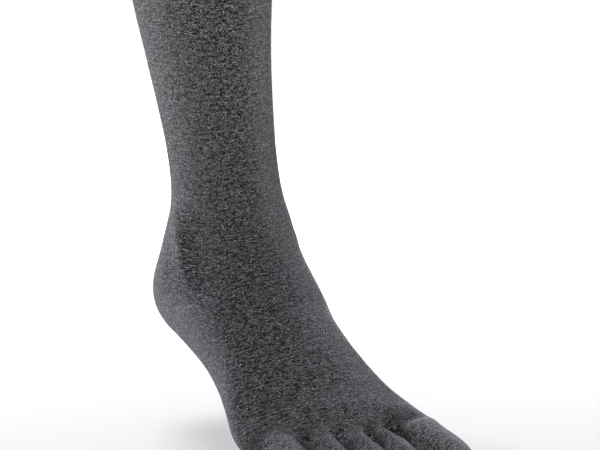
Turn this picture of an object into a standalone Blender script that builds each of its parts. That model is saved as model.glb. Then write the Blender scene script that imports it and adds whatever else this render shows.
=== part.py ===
"""Toe crew sock for the right foot, in the shape it has when worn with the heel raised.

The knit is one smooth skin, lofted down the leg, round the heel and along the foot, and split at the
front into five toe sleeves. The skin is given its thickness and then cut along its knitted joins, so each
named solid is a hollow wall that is open where the knitting goes on. The cuff is a thicker band of its own.

Row frame: +Z up, toes towards -Y, big toe on the +X side, origin at the centre of the leg opening.
Foot frame: side (positive to the big toe), forward from the back of the heel, and up from the sole.
"""

import math

import bmesh
import bpy
from mathutils import Matrix, Vector

# Driving sizes, in metres, measured on the outside of the knit.
FOOT_LENGTH = 0.262
BALL_WIDTH = 0.103
INSTEP_HEIGHT = 0.069
HEEL_WIDTH = 0.072
HEEL_DEPTH = 0.114
ANKLE_WIDTH = 0.060
ANKLE_DEPTH = 0.076
CALF_WIDTH = 0.083
CALF_DEPTH = 0.106
LEG_HEIGHT = 0.159
CUFF_HEIGHT = 0.026
TURN_RADIUS = 0.039
TOE_HEIGHT = 0.026

# Knit thickness, and the open joins between the knitted pieces.
WALL = 0.0015
CUFF_WALL = 0.0026
CUFF_PROUD = 0.0005
SEAM_GAP = 0.0004

# Pose, in degrees: the heel is raised about the ball of the foot, and the foot points down from the leg.
HEEL_RAISE = 27.0
FOOT_POINT = 26.0
LEG_SPLAY = 0.4

# Where the foot bends at the ball: shares of FOOT_LENGTH and TOE_HEIGHT, and the slant across the foot.
BALL_FORWARD = 0.70
BALL_UP = 0.45
BALL_SKEW = 0.23

# Centre that the ankle's sections fan about, in front of the instep: shares of FOOT_LENGTH and INSTEP_HEIGHT.
TURN_FORWARD = 0.488
TURN_UP = 1.667

# Leg, from the cuff down to the ankle: up is a share of LEG_HEIGHT, front of TURN_RADIUS, and grow goes
# from the ankle's width and depth at 0 to the calf's at 1. Pinch draws the knit in beside the tendon.
LEG_SECTIONS = (
    # up, front, grow, pinch
    (1.00, 0.77, 0.87, 0.00),
    (0.76, 0.96, 0.47, 0.00),
    (0.52, 1.04, 0.17, 0.05),
    (0.29, 1.07, 0.00, 0.13),
    (0.10, 1.04, 0.06, 0.22),
)

# The cuff goes on from the leg's first section to this front and grow at its top.
CUFF_TOP_FRONT = 0.57
CUFF_TOP_GROW = 1.18

# Outline of the cuff's band: up is a share of CUFF_HEIGHT, depth a share of CUFF_WALL from its outer face.
CUFF_PROFILE = (
    # up, depth
    (0.00, 0.20),
    (0.10, 0.00),
    (0.90, 0.00),
    (1.00, 0.50),
    (0.90, 1.00),
    (0.10, 1.00),
    (0.00, 0.80),
)

# Ankle and heel, fanned about the turning centre: turn goes from the leg's plane at 0 to the foot's at 1,
# front is a share of TURN_RADIUS, depth of HEEL_DEPTH, medial and lateral of HEEL_WIDTH. Pocket is how many
# cage columns, centred on the back, belong to the heel pocket between this section and the next.
HEEL_SECTIONS = (
    # turn, front, depth, medial, lateral, belt, pinch, pocket
    (0.00, 1.01, 0.77, 0.50, 0.48, 0.50, 0.29, 12),
    (0.09, 0.99, 0.86, 0.52, 0.49, 0.50, 0.31, 12),
    (0.17, 0.97, 0.94, 0.545, 0.525, 0.50, 0.26, 12),
    (0.25, 0.97, 1.01, 0.575, 0.555, 0.52, 0.17, 12),
    (0.34, 0.98, 1.03, 0.590, 0.570, 0.52, 0.08, 12),
    (0.44, 0.99, 0.96, 0.600, 0.56, 0.52, 0.00, 12),
    (0.56, 1.03, 0.78, 0.600, 0.56, 0.54, 0.00, 12),
    (0.70, 1.08, 0.66, 0.600, 0.55, 0.56, 0.00, 0),
    (0.85, 1.18, 0.57, 0.605, 0.54, 0.58, 0.00, 0),
    (1.00, 1.34, 0.50, 0.585, 0.55, 0.60, 0.00, 0),
)

# Foot: forward is a share of FOOT_LENGTH, top and sole of INSTEP_HEIGHT, medial, lateral and ridge of
# BALL_WIDTH, skew is the forward lead of the big-toe side, and bend the share of the heel's raise it takes.
FOOT_SECTIONS = (
    # forward, top, sole, medial, lateral, ridge, skew, bend
    (0.590, 0.75, 0.07, 0.42, 0.43, 0.13, 0.08, 1.00),
    (0.675, 0.60, 0.02, 0.50, 0.48, 0.18, 0.19, 0.85),
    (0.745, 0.52, 0.00, 0.605, 0.465, 0.22, 0.28, 0.40),
)
LEG_BELT = 0.50
FOOT_BELT = 0.60
FOOT_TOE_BLEND = 0.10
HEEL_RIDGE = 0.05

# How square the sections are: 2 is an ellipse, and the sole is flatter than the top.
TOP_POWER = 2.1
HEEL_POWER = 2.4
SOLE_POWER = 2.8

# Ankle bones: side is a share of HEEL_WIDTH, forward of FOOT_LENGTH, up of INSTEP_HEIGHT,
# radius and rise of HEEL_DEPTH.
ANKLE_BONES = (
    # side, forward, up, radius, rise
    (-0.46, 0.235, 0.98, 0.16, 0.045),
    (0.46, 0.275, 1.10, 0.16, 0.018),
)

# Toe sleeves, from the big toe out: web and tip are shares of FOOT_LENGTH, side, tip_side and width of
# BALL_WIDTH, height of TOE_HEIGHT. The web lies on the little-toe side of each toe.
TOES = (
    # name, web, tip, side, tip_side, width, height
    ("big_toe", 0.820, 1.000, 0.450, 0.455, 0.255, 0.92),
    ("second_toe", 0.827, 0.982, 0.220, 0.185, 0.145, 0.86),
    ("third_toe", 0.810, 0.948, 0.068, 0.036, 0.145, 0.82),
    ("fourth_toe", 0.772, 0.900, -0.100, -0.122, 0.155, 0.80),
    ("little_toe", 0.712, 0.842, -0.292, -0.310, 0.195, 0.78),
)
FIRST_WEB = 0.850

# One toe sleeve along its length: reach is a share of its length, width of its own width,
# top and bottom of its own height.
TOE_PROFILE = (
    # reach, width, top, bottom
    (0.18, 0.92, 1.12, 0.04),
    (0.46, 0.98, 1.00, 0.00),
    (0.76, 0.96, 0.88, 0.02),
    (0.94, 0.72, 0.66, 0.16),
)
TOE_TIP_UP = 0.42

# Round the toe roots: heights as shares of TOE_HEIGHT. The outermost cage columns lie at EDGE_ANGLE
# degrees from the sides at the ball, and at ROOT_PULL of the sleeves' outer edges at the roots.
ROOT_TOP = 1.18
ROOT_BOTTOM = 0.08
ROOT_EDGE = 1.08
EDGE_ANGLE = 26.0
ROOT_PULL = 0.96
ROOT_MEDIAL = 0.56
ROOT_LATERAL = 0.42
WEB_TOP = 0.92
WEB_MIDDLE = 0.52
WEB_BOTTOM = 0.22

# Cage points round the leg, from the big-toe side over the front, and round one toe sleeve.
COLUMNS = 24
TOE_COLUMNS = 8
SUBDIVISIONS = 1
SHARPEST_FOLD = 0.15
SHARP_ANGLE = math.radians(50.0)

# Knit finishes: a base colour for each piece, and one roughness.
PIECES = ("leg", "heel", "foot") + tuple(toe[0] for toe in TOES)
CHARCOAL = (0.058, 0.060, 0.066, 1.0)
DARK_CHARCOAL = (0.050, 0.051, 0.056, 1.0)
KNIT_ROUGHNESS = 0.95


def cage_scale(points):
    """How far a round cage of this many points stands out for its smooth surface to have the true size."""
    return 3.0 / (2.0 + math.cos(2.0 * math.pi / points))


def signed_power(value, power):
    return math.copysign(abs(value) ** power, value)


def smooth_step(value):
    value = min(1.0, max(0.0, value))
    return value * value * (3.0 - 2.0 * value)


def toe_edges():
    """Side positions of the toe sleeves' edges across the foot, as shares of its half width."""
    edges = [(side + width / 2.0) * 2.0 for _, _, _, side, _, width, _ in TOES]
    edges.append((TOES[-1][3] - TOES[-1][5] / 2.0) * 2.0)
    return edges


def toe_webs():
    """Forward positions of the toe sleeves' edges, one more than there are toes."""
    return [FIRST_WEB * FOOT_LENGTH] + [toe[1] * FOOT_LENGTH for toe in TOES]


def column_angles(toe_share):
    """Angle of each cage column round a section: even on the leg, gathered at the toe sleeves at the ball."""
    even = [2.0 * math.pi * k / COLUMNS for k in range(COLUMNS)]
    edges = toe_edges()
    sides = []
    for near, far in zip(edges, edges[1:]):
        sides += [near, (near + far) / 2.0]
    outermost = math.radians(EDGE_ANGLE)
    top = [outermost] + [math.acos(side) for side in sides[1:]] + [math.pi - outermost]
    toes = [0.0] + top + [math.pi] + [2.0 * math.pi - angle for angle in reversed(top)]
    return [a + (b - a) * toe_share for a, b in zip(even, toes)]


def section(front, back, medial, lateral, belt, pinch, ridge=0.0, skew=0.0, toe_share=0.0, power=HEEL_POWER):
    """Cage points of one closed section, as (side, forward, up). front and back are (forward, up).

    belt is the widest place's share from front to back, and power the squareness behind it.
    """
    grow = cage_scale(COLUMNS)
    centre = front.lerp(back, belt)
    points = []
    for angle in column_angles(toe_share):
        squareness = TOP_POWER if math.sin(angle) >= 0.0 else power
        across = signed_power(math.cos(angle), 2.0 / squareness)
        along = signed_power(math.sin(angle), 2.0 / squareness)
        half = medial if across >= 0.0 else lateral
        if along < 0.0:
            half *= 1.0 - pinch * math.sin(2.0 * angle) ** 2
        side = half * across * grow + ridge * max(along, 0.0) ** 2
        reach = (front - centre) if along >= 0.0 else (centre - back)
        at = centre + reach * along * grow
        points.append(Vector((side, at.x + skew * side, at.y)))
    return points


def turning_centre():
    return Vector((TURN_FORWARD * FOOT_LENGTH, TURN_UP * INSTEP_HEIGHT))


def leg_points(height, front, grow, pinch=0.0, out=0.0):
    """A section of the leg at a height above the ankle, out from the skin by a distance."""
    lean = math.radians(FOOT_POINT)
    axis = Vector((-math.sin(lean), math.cos(lean)))
    back_way = Vector((-axis.y, axis.x))
    width = ANKLE_WIDTH + grow * (CALF_WIDTH - ANKLE_WIDTH) + 2.0 * out
    depth = ANKLE_DEPTH + grow * (CALF_DEPTH - ANKLE_DEPTH) + 2.0 * out
    near = turning_centre() + axis * height + back_way * (front * TURN_RADIUS - out)
    points = section(near, near + back_way * depth, width / 2.0, width / 2.0, LEG_BELT, pinch)
    shift = Vector((-math.tan(math.radians(LEG_SPLAY)) * height, 0.0, 0.0))
    return [point + shift for point in points]


def heel_points(turn, front, depth, medial, lateral, belt, pinch):
    """A section of the ankle and heel, fanned about the turning centre."""
    start = math.radians(FOOT_POINT)
    angle = start + turn * (math.pi / 2.0 - start)
    way = Vector((-math.cos(angle), -math.sin(angle)))
    near = turning_centre() + way * front * TURN_RADIUS
    return section(
        near,
        near + way * depth * HEEL_DEPTH,
        medial * HEEL_WIDTH,
        lateral * HEEL_WIDTH,
        belt,
        pinch,
        HEEL_RIDGE * BALL_WIDTH * turn,
    )


def foot_points(forward, top, sole, medial, lateral, ridge, skew):
    """An upright section of the foot, between the instep and the toes."""
    first, last = FOOT_SECTIONS[0][0] - FOOT_TOE_BLEND, FOOT_SECTIONS[-1][0]
    return section(
        Vector((forward * FOOT_LENGTH, top * INSTEP_HEIGHT)),
        Vector((forward * FOOT_LENGTH, sole * INSTEP_HEIGHT)),
        medial * BALL_WIDTH,
        lateral * BALL_WIDTH,
        FOOT_BELT,
        0.0,
        ridge * BALL_WIDTH,
        skew,
        smooth_step((forward - first) / (last - first)),
        SOLE_POWER,
    )


def with_bones(points):
    """The section's points, pushed out at the ankle bones."""
    centre = sum(points, Vector()) / len(points)
    shaped = []
    for point in points:
        out = (point - centre).normalized()
        push = 0.0
        for side, forward, up, radius, rise in ANKLE_BONES:
            spot = Vector((side * HEEL_WIDTH, forward * FOOT_LENGTH, up * INSTEP_HEIGHT))
            away = (point - spot).length / (radius * HEEL_DEPTH)
            push += rise * HEEL_DEPTH * math.exp(-away * away)
        shaped.append(point + out * push)
    return shaped


def raised(point, bend=1.0):
    """A foot-frame point, turned with the heel about the ball, in the row's axes."""
    pivot = Vector((0.0, BALL_FORWARD * FOOT_LENGTH, BALL_UP * TOE_HEIGHT))
    axis = Vector((1.0, BALL_SKEW, 0.0)).normalized()
    turn = Matrix.Rotation(-math.radians(HEEL_RAISE) * bend, 3, axis)
    side, forward, up = turn @ (point - pivot) + pivot
    return Vector((side, -forward, up))


def root_points():
    """Cage points of the toe roots: the ring that ends the foot, and the middle point of each web."""
    half = BALL_WIDTH / 2.0
    edges, webs = toe_edges(), toe_webs()
    grow = cage_scale(COLUMNS)
    heights = [TOES[0][6]] + [toe[6] for toe in TOES[1:]] + [TOES[-1][6]]
    top, bottom, middle = [], [], []
    for edge, (side, web, height) in enumerate(zip(edges, webs, heights)):
        outer = edge in (0, len(TOES))
        across = side * half * (ROOT_PULL if outer else 1.0)
        high = (ROOT_EDGE if outer else WEB_TOP) * height * TOE_HEIGHT
        top.append(Vector((across, web, high)))
        bottom.append(Vector((across, web, WEB_BOTTOM * TOE_HEIGHT)))
        if not outer:
            middle.append(Vector((across, web, WEB_MIDDLE * TOE_HEIGHT)))
        if edge < len(TOES):
            centre = TOES[edge][3] * BALL_WIDTH
            forward = (web + webs[edge + 1]) / 2.0
            top.append(Vector((centre, forward, ROOT_TOP * TOES[edge][6] * TOE_HEIGHT)))
            bottom.append(Vector((centre, forward, ROOT_BOTTOM * TOE_HEIGHT)))
    medial = Vector((edges[0] * half * grow, webs[0], ROOT_MEDIAL * TOE_HEIGHT))
    lateral = Vector((edges[-1] * half * grow, webs[-1], ROOT_LATERAL * TOE_HEIGHT))
    return [medial] + top + [lateral] + bottom[::-1], middle


def toe_rings(index):
    """Cage rings of one toe sleeve, and the point that closes its tip."""
    _, _, tip, side, tip_side, width, height = TOES[index]
    webs = toe_webs()
    grow = cage_scale(TOE_COLUMNS)
    start = Vector((side * BALL_WIDTH, (webs[index] + webs[index + 1]) / 2.0))
    end = Vector((tip_side * BALL_WIDTH, tip * FOOT_LENGTH))
    along = (end - start).normalized()
    across = Vector((along.y, -along.x))
    rings = []
    for reach, wide, top, bottom in TOE_PROFILE:
        centre = start.lerp(end, reach)
        middle = (top + bottom) / 2.0 * height * TOE_HEIGHT
        half_up = (top - bottom) / 2.0 * height * TOE_HEIGHT * grow
        half_wide = wide * width * BALL_WIDTH / 2.0 * grow
        ring = []
        for k in range(TOE_COLUMNS):
            angle = 2.0 * math.pi * k / TOE_COLUMNS
            at = centre + across * math.cos(angle) * half_wide
            ring.append(Vector((at.x, at.y, middle + math.sin(angle) * half_up)))
        rings.append(ring)
    return rings, Vector((end.x, end.y, TOE_TIP_UP * height * TOE_HEIGHT))


def bridge_rings(bm, loop, ring, piece):
    """Faces between two rings of as many vertices, with the number of their piece as the material index."""
    faces = []
    for k, vert in enumerate(loop):
        after = (k + 1) % len(loop)
        face = bm.faces.new((vert, loop[after], ring[after], ring[k]))
        face.material_index = PIECES.index(piece)
        faces.append(face)
    return faces


def mark_pocket(faces, pocket):
    """Gives the heel pocket its columns of one ring of faces, centred on the back."""
    middle = len(faces) * 3 // 4
    for face in faces[middle - pocket // 2 : middle + pocket // 2]:
        face.material_index = PIECES.index("heel")


def add_toe(bm, loop, index):
    """The cage of one toe sleeve, on from its loop of root vertices."""
    name = TOES[index][0]
    rows, closing = toe_rings(index)
    for row in rows:
        ring = [bm.verts.new(raised(point, 0.0)) for point in row]
        bridge_rings(bm, loop, ring, name)
        loop = ring
    tip = bm.verts.new(raised(closing, 0.0))
    for k in range(0, TOE_COLUMNS, 2):
        face = bm.faces.new((tip, loop[k], loop[k + 1], loop[(k + 2) % TOE_COLUMNS]))
        face.material_index = PIECES.index(name)


def skin_cage():
    """The knit skin below the cuff as a coarse open mesh, with each face's piece as its material index."""
    rows = []
    for up, *size in LEG_SECTIONS:
        points = with_bones(leg_points(up * LEG_HEIGHT, *size))
        rows.append(([raised(point) for point in points], "leg", 0))
    for *size, pocket in HEEL_SECTIONS:
        points = with_bones(heel_points(*size))
        rows.append(([raised(point) for point in points], "foot", pocket))
    for *size, bend in FOOT_SECTIONS:
        rows.append(([raised(point, bend) for point in foot_points(*size)], "foot", 0))
    root, webs = root_points()
    rows.append(([raised(point, 0.0) for point in root], "foot", 0))

    bm = bmesh.new()
    made = [[bm.verts.new(point) for point in points] for points, _, _ in rows]
    for above, below, (_, piece, pocket) in zip(made, made[1:], rows):
        mark_pocket(bridge_rings(bm, above, below, piece), pocket)
    last = made[-1]
    middle = [bm.verts.new(raised(point, 0.0)) for point in webs]
    sides = [last[0]] + middle + [last[COLUMNS // 2]]
    for index in range(len(TOES)):
        first = 1 + 2 * index
        under = COLUMNS - first
        loop = [sides[index]] + last[first : first + 3] + [sides[index + 1]] + last[under - 2 : under + 1]
        add_toe(bm, loop, index)
    bmesh.ops.recalc_face_normals(bm, faces=bm.faces)
    mesh = bpy.data.meshes.new("skin")
    bm.to_mesh(mesh)
    bm.free()
    return mesh


def walled_skin():
    """The smooth skin and its inner face in one mesh, with the inner vertices after the outer ones."""
    skin = bpy.data.objects.new("skin", skin_cage())
    bpy.context.scene.collection.objects.link(skin)
    smooth = skin.modifiers.new("smooth", "SUBSURF")
    smooth.levels = SUBDIVISIONS
    smooth.render_levels = SUBDIVISIONS
    wall = skin.modifiers.new("wall", "SOLIDIFY")
    wall.thickness = WALL
    wall.offset = -1.0
    wall.use_rim = False
    graph = bpy.context.evaluated_depsgraph_get()
    mesh = bpy.data.meshes.new_from_object(skin.evaluated_get(graph))
    bpy.data.objects.remove(skin, do_unlink=True)
    return mesh


def into_face(edge, face):
    """Unit vector in the face's plane, square to one of its edges, pointing into the face."""
    way = face.normal.cross(edge.verts[1].co - edge.verts[0].co).normalized()
    towards = face.calc_center_median() - edge.verts[0].co
    return way if way.dot(towards) > 0.0 else -way


def border_slide(vert, number):
    """How far a border vertex moves along the knit, into its piece, to leave half of the open join.

    In a sharp fold both sides of the join move the same way, so the slide grows as the fold closes.
    """
    total, reach, count = Vector(), 0.0, 0
    for edge in vert.link_edges:
        own = [face for face in edge.link_faces if face.material_index == number]
        others = [face for face in edge.link_faces if face.material_index != number]
        if len(own) != 1:
            continue
        way = into_face(edge, own[0])
        opening = way.angle(into_face(edge, others[0])) if others else math.pi
        total += way
        reach += SEAM_GAP / 2.0 / max(math.sin(opening / 2.0), SHARPEST_FOLD)
        count += 1
    return total * reach / total.length_squared


def cut_piece(walled, name):
    """One piece of the walled skin, slid back from its neighbours and closed along its cut borders."""
    number = PIECES.index(name)
    bm = bmesh.new()
    bm.from_mesh(walled)
    bm.normal_update()
    half = len(bm.verts) // 2
    order = bm.verts.layers.int.new("order")
    slides = {}
    for vert in bm.verts:
        vert[order] = vert.index
        owners = {face.material_index for face in vert.link_faces}
        if number in owners and (len(owners) > 1 or vert.is_boundary):
            slides[vert.index] = border_slide(vert, number)
    others = [face for face in bm.faces if face.material_index != number]
    bmesh.ops.delete(bm, geom=others, context="FACES")
    found = {vert[order]: vert for vert in bm.verts}
    for index, slide in slides.items():
        found[index].co += slide
    borders = [edge for edge in bm.edges if edge.is_boundary and edge.verts[0][order] < half]
    for edge in borders:
        first, second = edge.link_loops[0].vert, edge.link_loops[0].link_loop_next.vert
        bm.faces.new((second, first, found[first[order] + half], found[second[order] + half]))
    for face in bm.faces:
        face.material_index = 0
    mesh = bpy.data.meshes.new(name)
    bm.to_mesh(mesh)
    bm.free()
    return mesh


def cuff_mesh():
    """The double-knit cuff: a closed band that follows the leg's section and stands slightly proud of it."""
    _, low_front, low_grow, _ = LEG_SECTIONS[0]
    bm = bmesh.new()
    rings = []
    for up, depth in CUFF_PROFILE:
        height = LEG_HEIGHT + up * CUFF_HEIGHT + SEAM_GAP / 2.0
        front = low_front + up * (CUFF_TOP_FRONT - low_front)
        grow = low_grow + up * (CUFF_TOP_GROW - low_grow)
        points = leg_points(height, front, grow, out=CUFF_PROUD - depth * CUFF_WALL)
        rings.append([bm.verts.new(raised(point)) for point in points])
    for ring, after in zip(rings, rings[1:] + rings[:1]):
        bridge_rings(bm, ring, after, PIECES[0])
    bmesh.ops.recalc_face_normals(bm, faces=bm.faces)
    mesh = bpy.data.meshes.new("cuff")
    bm.to_mesh(mesh)
    bm.free()
    return mesh


def opening_centre():
    """Centre of the leg opening, at the cuff's top edge."""
    points = leg_points(LEG_HEIGHT + CUFF_HEIGHT, CUFF_TOP_FRONT, CUFF_TOP_GROW)
    return sum((raised(point) for point in points), Vector()) / len(points)


def knit_material(name, colour):
    material = bpy.data.materials.new(name + "_knit")
    material.use_nodes = True
    shader = material.node_tree.nodes["Principled BSDF"]
    shader.inputs["Base Color"].default_value = colour
    shader.inputs["Roughness"].default_value = KNIT_ROUGHNESS
    shader.inputs["Metallic"].default_value = 0.0
    material.diffuse_color = colour
    return material


def add_piece(mesh, root, group, colour):
    """A named object for one knitted piece, with its own finish, placed by the root."""
    mesh.materials.clear()
    mesh.materials.append(knit_material(mesh.name, colour))
    mesh.shade_smooth()
    mesh.set_sharp_from_angle(angle=SHARP_ANGLE)
    piece = bpy.data.objects.new(mesh.name, mesh)
    piece.parent = root
    group.objects.link(piece)
    return piece


def main():
    for old in list(bpy.data.objects):
        bpy.data.objects.remove(old, do_unlink=True)
    group = bpy.data.collections.new("toe_crew_sock")
    bpy.context.scene.collection.children.link(group)
    root = bpy.data.objects.new("toe_crew_sock", None)
    root.location = -opening_centre()
    group.objects.link(root)

    cuff = add_piece(cuff_mesh(), root, group, CHARCOAL)
    smooth = cuff.modifiers.new("smooth", "SUBSURF")
    smooth.levels = SUBDIVISIONS
    smooth.render_levels = SUBDIVISIONS
    walled = walled_skin()
    for name in PIECES:
        add_piece(cut_piece(walled, name), root, group, DARK_CHARCOAL if name == "leg" else CHARCOAL)
    bpy.data.meshes.remove(walled)


if __name__ == "__main__":
    main()
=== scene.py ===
"""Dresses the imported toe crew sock: knit skin, toe sleeves, ribbed cuff, floor, lights and camera.

The skin is lofted from the same sections as the solids, with its stitches laid out along it: wales run
from the cuff to the toes and courses run round. It is hollow, so its inside shows through the leg opening.
"""

import math

import bmesh
import bpy
import numpy as np
from mathutils import Matrix, Vector


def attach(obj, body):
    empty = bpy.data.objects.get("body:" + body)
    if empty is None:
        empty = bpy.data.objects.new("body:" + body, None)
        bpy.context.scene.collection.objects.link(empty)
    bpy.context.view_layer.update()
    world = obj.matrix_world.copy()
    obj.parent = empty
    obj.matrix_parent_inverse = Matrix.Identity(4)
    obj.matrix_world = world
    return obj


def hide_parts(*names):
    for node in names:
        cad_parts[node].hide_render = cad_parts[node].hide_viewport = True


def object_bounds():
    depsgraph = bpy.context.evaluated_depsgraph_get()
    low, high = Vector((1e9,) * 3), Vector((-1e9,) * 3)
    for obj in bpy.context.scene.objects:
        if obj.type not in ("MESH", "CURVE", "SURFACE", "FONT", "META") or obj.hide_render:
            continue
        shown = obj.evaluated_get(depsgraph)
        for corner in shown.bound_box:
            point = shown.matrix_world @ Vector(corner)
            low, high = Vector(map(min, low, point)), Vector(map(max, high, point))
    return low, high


bl_info = {
    "name": "Toe Crew Sock",
    "version": (1, 0, 0),
    "blender": (4, 5, 0),
    "location": "View3D > Sidebar > Sock",
    "description": "Knits the look of a worn toe crew sock round its packed solids",
    "category": "Add Mesh",
}

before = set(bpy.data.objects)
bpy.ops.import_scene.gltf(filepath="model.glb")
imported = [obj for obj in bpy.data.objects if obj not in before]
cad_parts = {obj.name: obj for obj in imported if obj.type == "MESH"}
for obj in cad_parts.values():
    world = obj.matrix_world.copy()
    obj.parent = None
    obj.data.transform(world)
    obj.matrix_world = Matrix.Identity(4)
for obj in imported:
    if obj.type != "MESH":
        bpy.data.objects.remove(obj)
CAD_BOX = [list(corner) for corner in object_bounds()]
BODY = "root"

# Sizes of the form, in metres, and its pose in degrees, as in the solids.
FOOT_LENGTH = 0.262
BALL_WIDTH = 0.103
INSTEP_HEIGHT = 0.069
HEEL_WIDTH = 0.072
HEEL_DEPTH = 0.114
ANKLE_WIDTH = 0.060
ANKLE_DEPTH = 0.076
CALF_WIDTH = 0.083
CALF_DEPTH = 0.106
LEG_HEIGHT = 0.159
CUFF_HEIGHT = 0.026
TURN_RADIUS = 0.039
TOE_HEIGHT = 0.026
WALL = 0.0015
CUFF_WALL = 0.0026
CUFF_PROUD = 0.0005
HEEL_RAISE = 27.0
FOOT_POINT = 26.0
LEG_SPLAY = 0.4
BALL_FORWARD, BALL_UP, BALL_SKEW = 0.70, 0.45, 0.23
TURN_FORWARD, TURN_UP = 0.488, 1.667

LEG_SECTIONS = (
    # up, front, grow, pinch
    (1.00, 0.77, 0.87, 0.00),
    (0.76, 0.96, 0.47, 0.00),
    (0.52, 1.04, 0.17, 0.05),
    (0.29, 1.07, 0.00, 0.13),
    (0.10, 1.04, 0.06, 0.22),
)
CUFF_TOP_FRONT, CUFF_TOP_GROW = 0.57, 1.18

HEEL_SECTIONS = (
    # turn, front, depth, medial, lateral, belt, pinch, pocket
    (0.00, 1.01, 0.77, 0.50, 0.48, 0.50, 0.29, 12),
    (0.09, 0.99, 0.86, 0.52, 0.49, 0.50, 0.31, 12),
    (0.17, 0.97, 0.94, 0.545, 0.525, 0.50, 0.26, 12),
    (0.25, 0.97, 1.01, 0.575, 0.555, 0.52, 0.17, 12),
    (0.34, 0.98, 1.03, 0.590, 0.570, 0.52, 0.08, 12),
    (0.44, 0.99, 0.96, 0.600, 0.56, 0.52, 0.00, 12),
    (0.56, 1.03, 0.78, 0.600, 0.56, 0.54, 0.00, 12),
    (0.70, 1.08, 0.66, 0.600, 0.55, 0.56, 0.00, 0),
    (0.85, 1.18, 0.57, 0.605, 0.54, 0.58, 0.00, 0),
    (1.00, 1.34, 0.50, 0.585, 0.55, 0.60, 0.00, 0),
)

FOOT_SECTIONS = (
    # forward, top, sole, medial, lateral, ridge, skew, bend
    (0.590, 0.75, 0.07, 0.42, 0.43, 0.13, 0.08, 1.00),
    (0.675, 0.60, 0.02, 0.50, 0.48, 0.18, 0.19, 0.85),
    (0.745, 0.52, 0.00, 0.605, 0.465, 0.22, 0.28, 0.40),
)
LEG_BELT, FOOT_BELT = 0.50, 0.60
FOOT_TOE_BLEND, HEEL_RIDGE = 0.10, 0.05
TOP_POWER, HEEL_POWER, SOLE_POWER = 2.1, 2.4, 2.8

ANKLE_BONES = (
    # side, forward, up, radius, rise
    (-0.46, 0.235, 0.98, 0.16, 0.045),
    (0.46, 0.275, 1.10, 0.16, 0.018),
)

TOES = (
    # name, web, tip, side, tip_side, width, height
    ("big_toe", 0.820, 1.000, 0.450, 0.455, 0.255, 0.92),
    ("second_toe", 0.827, 0.982, 0.220, 0.185, 0.145, 0.86),
    ("third_toe", 0.810, 0.948, 0.068, 0.036, 0.145, 0.82),
    ("fourth_toe", 0.772, 0.900, -0.100, -0.122, 0.155, 0.80),
    ("little_toe", 0.712, 0.842, -0.292, -0.310, 0.195, 0.78),
)
FIRST_WEB = 0.850
TOE_PROFILE = (
    # reach, width, top, bottom
    (0.18, 0.92, 1.12, 0.04),
    (0.46, 0.98, 1.00, 0.00),
    (0.76, 0.96, 0.88, 0.02),
    (0.94, 0.72, 0.66, 0.16),
)
TOE_TIP_UP = 0.42
ROOT_TOP, ROOT_BOTTOM, ROOT_EDGE = 1.18, 0.08, 1.08
EDGE_ANGLE, ROOT_PULL = 26.0, 0.96
ROOT_MEDIAL, ROOT_LATERAL = 0.56, 0.42
WEB_TOP, WEB_MIDDLE, WEB_BOTTOM = 0.92, 0.52, 0.22

COLUMNS, TOE_COLUMNS = 24, 8
TOE_SLEEVES = tuple(toe[0] for toe in TOES)
SKIN_PIECES = ("leg", "heel", "foot") + TOE_SLEEVES
STITCH_MAP = "stitches"
OUTER_DETAIL, INNER_DETAIL = 4, 3

# Knitting: stitches to a cage column round the leg and round a toe, the height of one course in metres, and
# how far the courses follow the longer way round the outside of a bend.
WALES_PER_COLUMN, WALES_PER_TOE_COLUMN = 7, 6
COURSE = 0.00125
COURSE_SPREAD = 0.3

# Relief of the worn knit, in metres: soft unevenness all over, from seeded waves.
UNEVENNESS = (
    # rise, size, seed
    (0.00012, 0.020, 3),
    (0.00006, 0.007, 5),
)
# Soft creases across the foot and in front of the ankle: forward is a share of FOOT_LENGTH and up of
# INSTEP_HEIGHT.
CREASE_HALF_HEIGHT = 0.03
CREASES = (
    # forward, up, reach across, lean across the foot, rise, width
    (0.62, 0.62, 0.028, 0.16, 0.00035, 0.0022),
    (0.66, 0.55, 0.024, 0.22, -0.00030, 0.0026),
    (0.70, 0.50, 0.030, 0.30, 0.00030, 0.0022),
    (0.56, 0.75, 0.020, 0.10, -0.00035, 0.0030),
    (0.50, 0.95, 0.022, 0.05, 0.00040, 0.0034),
    (0.47, 1.15, 0.020, 0.02, -0.00045, 0.0036),
    (0.46, 1.38, 0.018, -0.04, 0.00035, 0.0034),
)
# Soft hollows and ridges beside the tendon at the back of the ankle, each along a short line: side is a
# share of HEEL_WIDTH, forward of FOOT_LENGTH, up of INSTEP_HEIGHT, radius and rise of HEEL_DEPTH.
TENDON_LINES = (
    # side, forward, up, end side, end forward, end up, radius, rise
    (-0.440, 0.275, 1.400, -0.465, 0.345, 1.010, 0.064, -0.0160),
    (-0.465, 0.200, 1.300, -0.535, 0.310, 0.918, 0.046, 0.0140),
    (0.490, 0.252, 1.377, 0.510, 0.302, 1.043, 0.056, -0.0100),
    (0.500, 0.190, 1.275, 0.535, 0.275, 0.940, 0.045, 0.0040),
)
# Valleys behind the webs between the toe sleeves, from the big toe out, in metres. They fade out between
# two heights, which are shares of TOE_HEIGHT.
VALLEY_LOW, VALLEY_HIGH = 0.3, 0.8
WEB_VALLEYS = (
    # reach, width, depth
    (0.012, 0.0040, 0.0092),
    (0.013, 0.0031, 0.0034),
    (0.012, 0.0029, 0.0030),
    (0.011, 0.0028, 0.0028),
)

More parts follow.
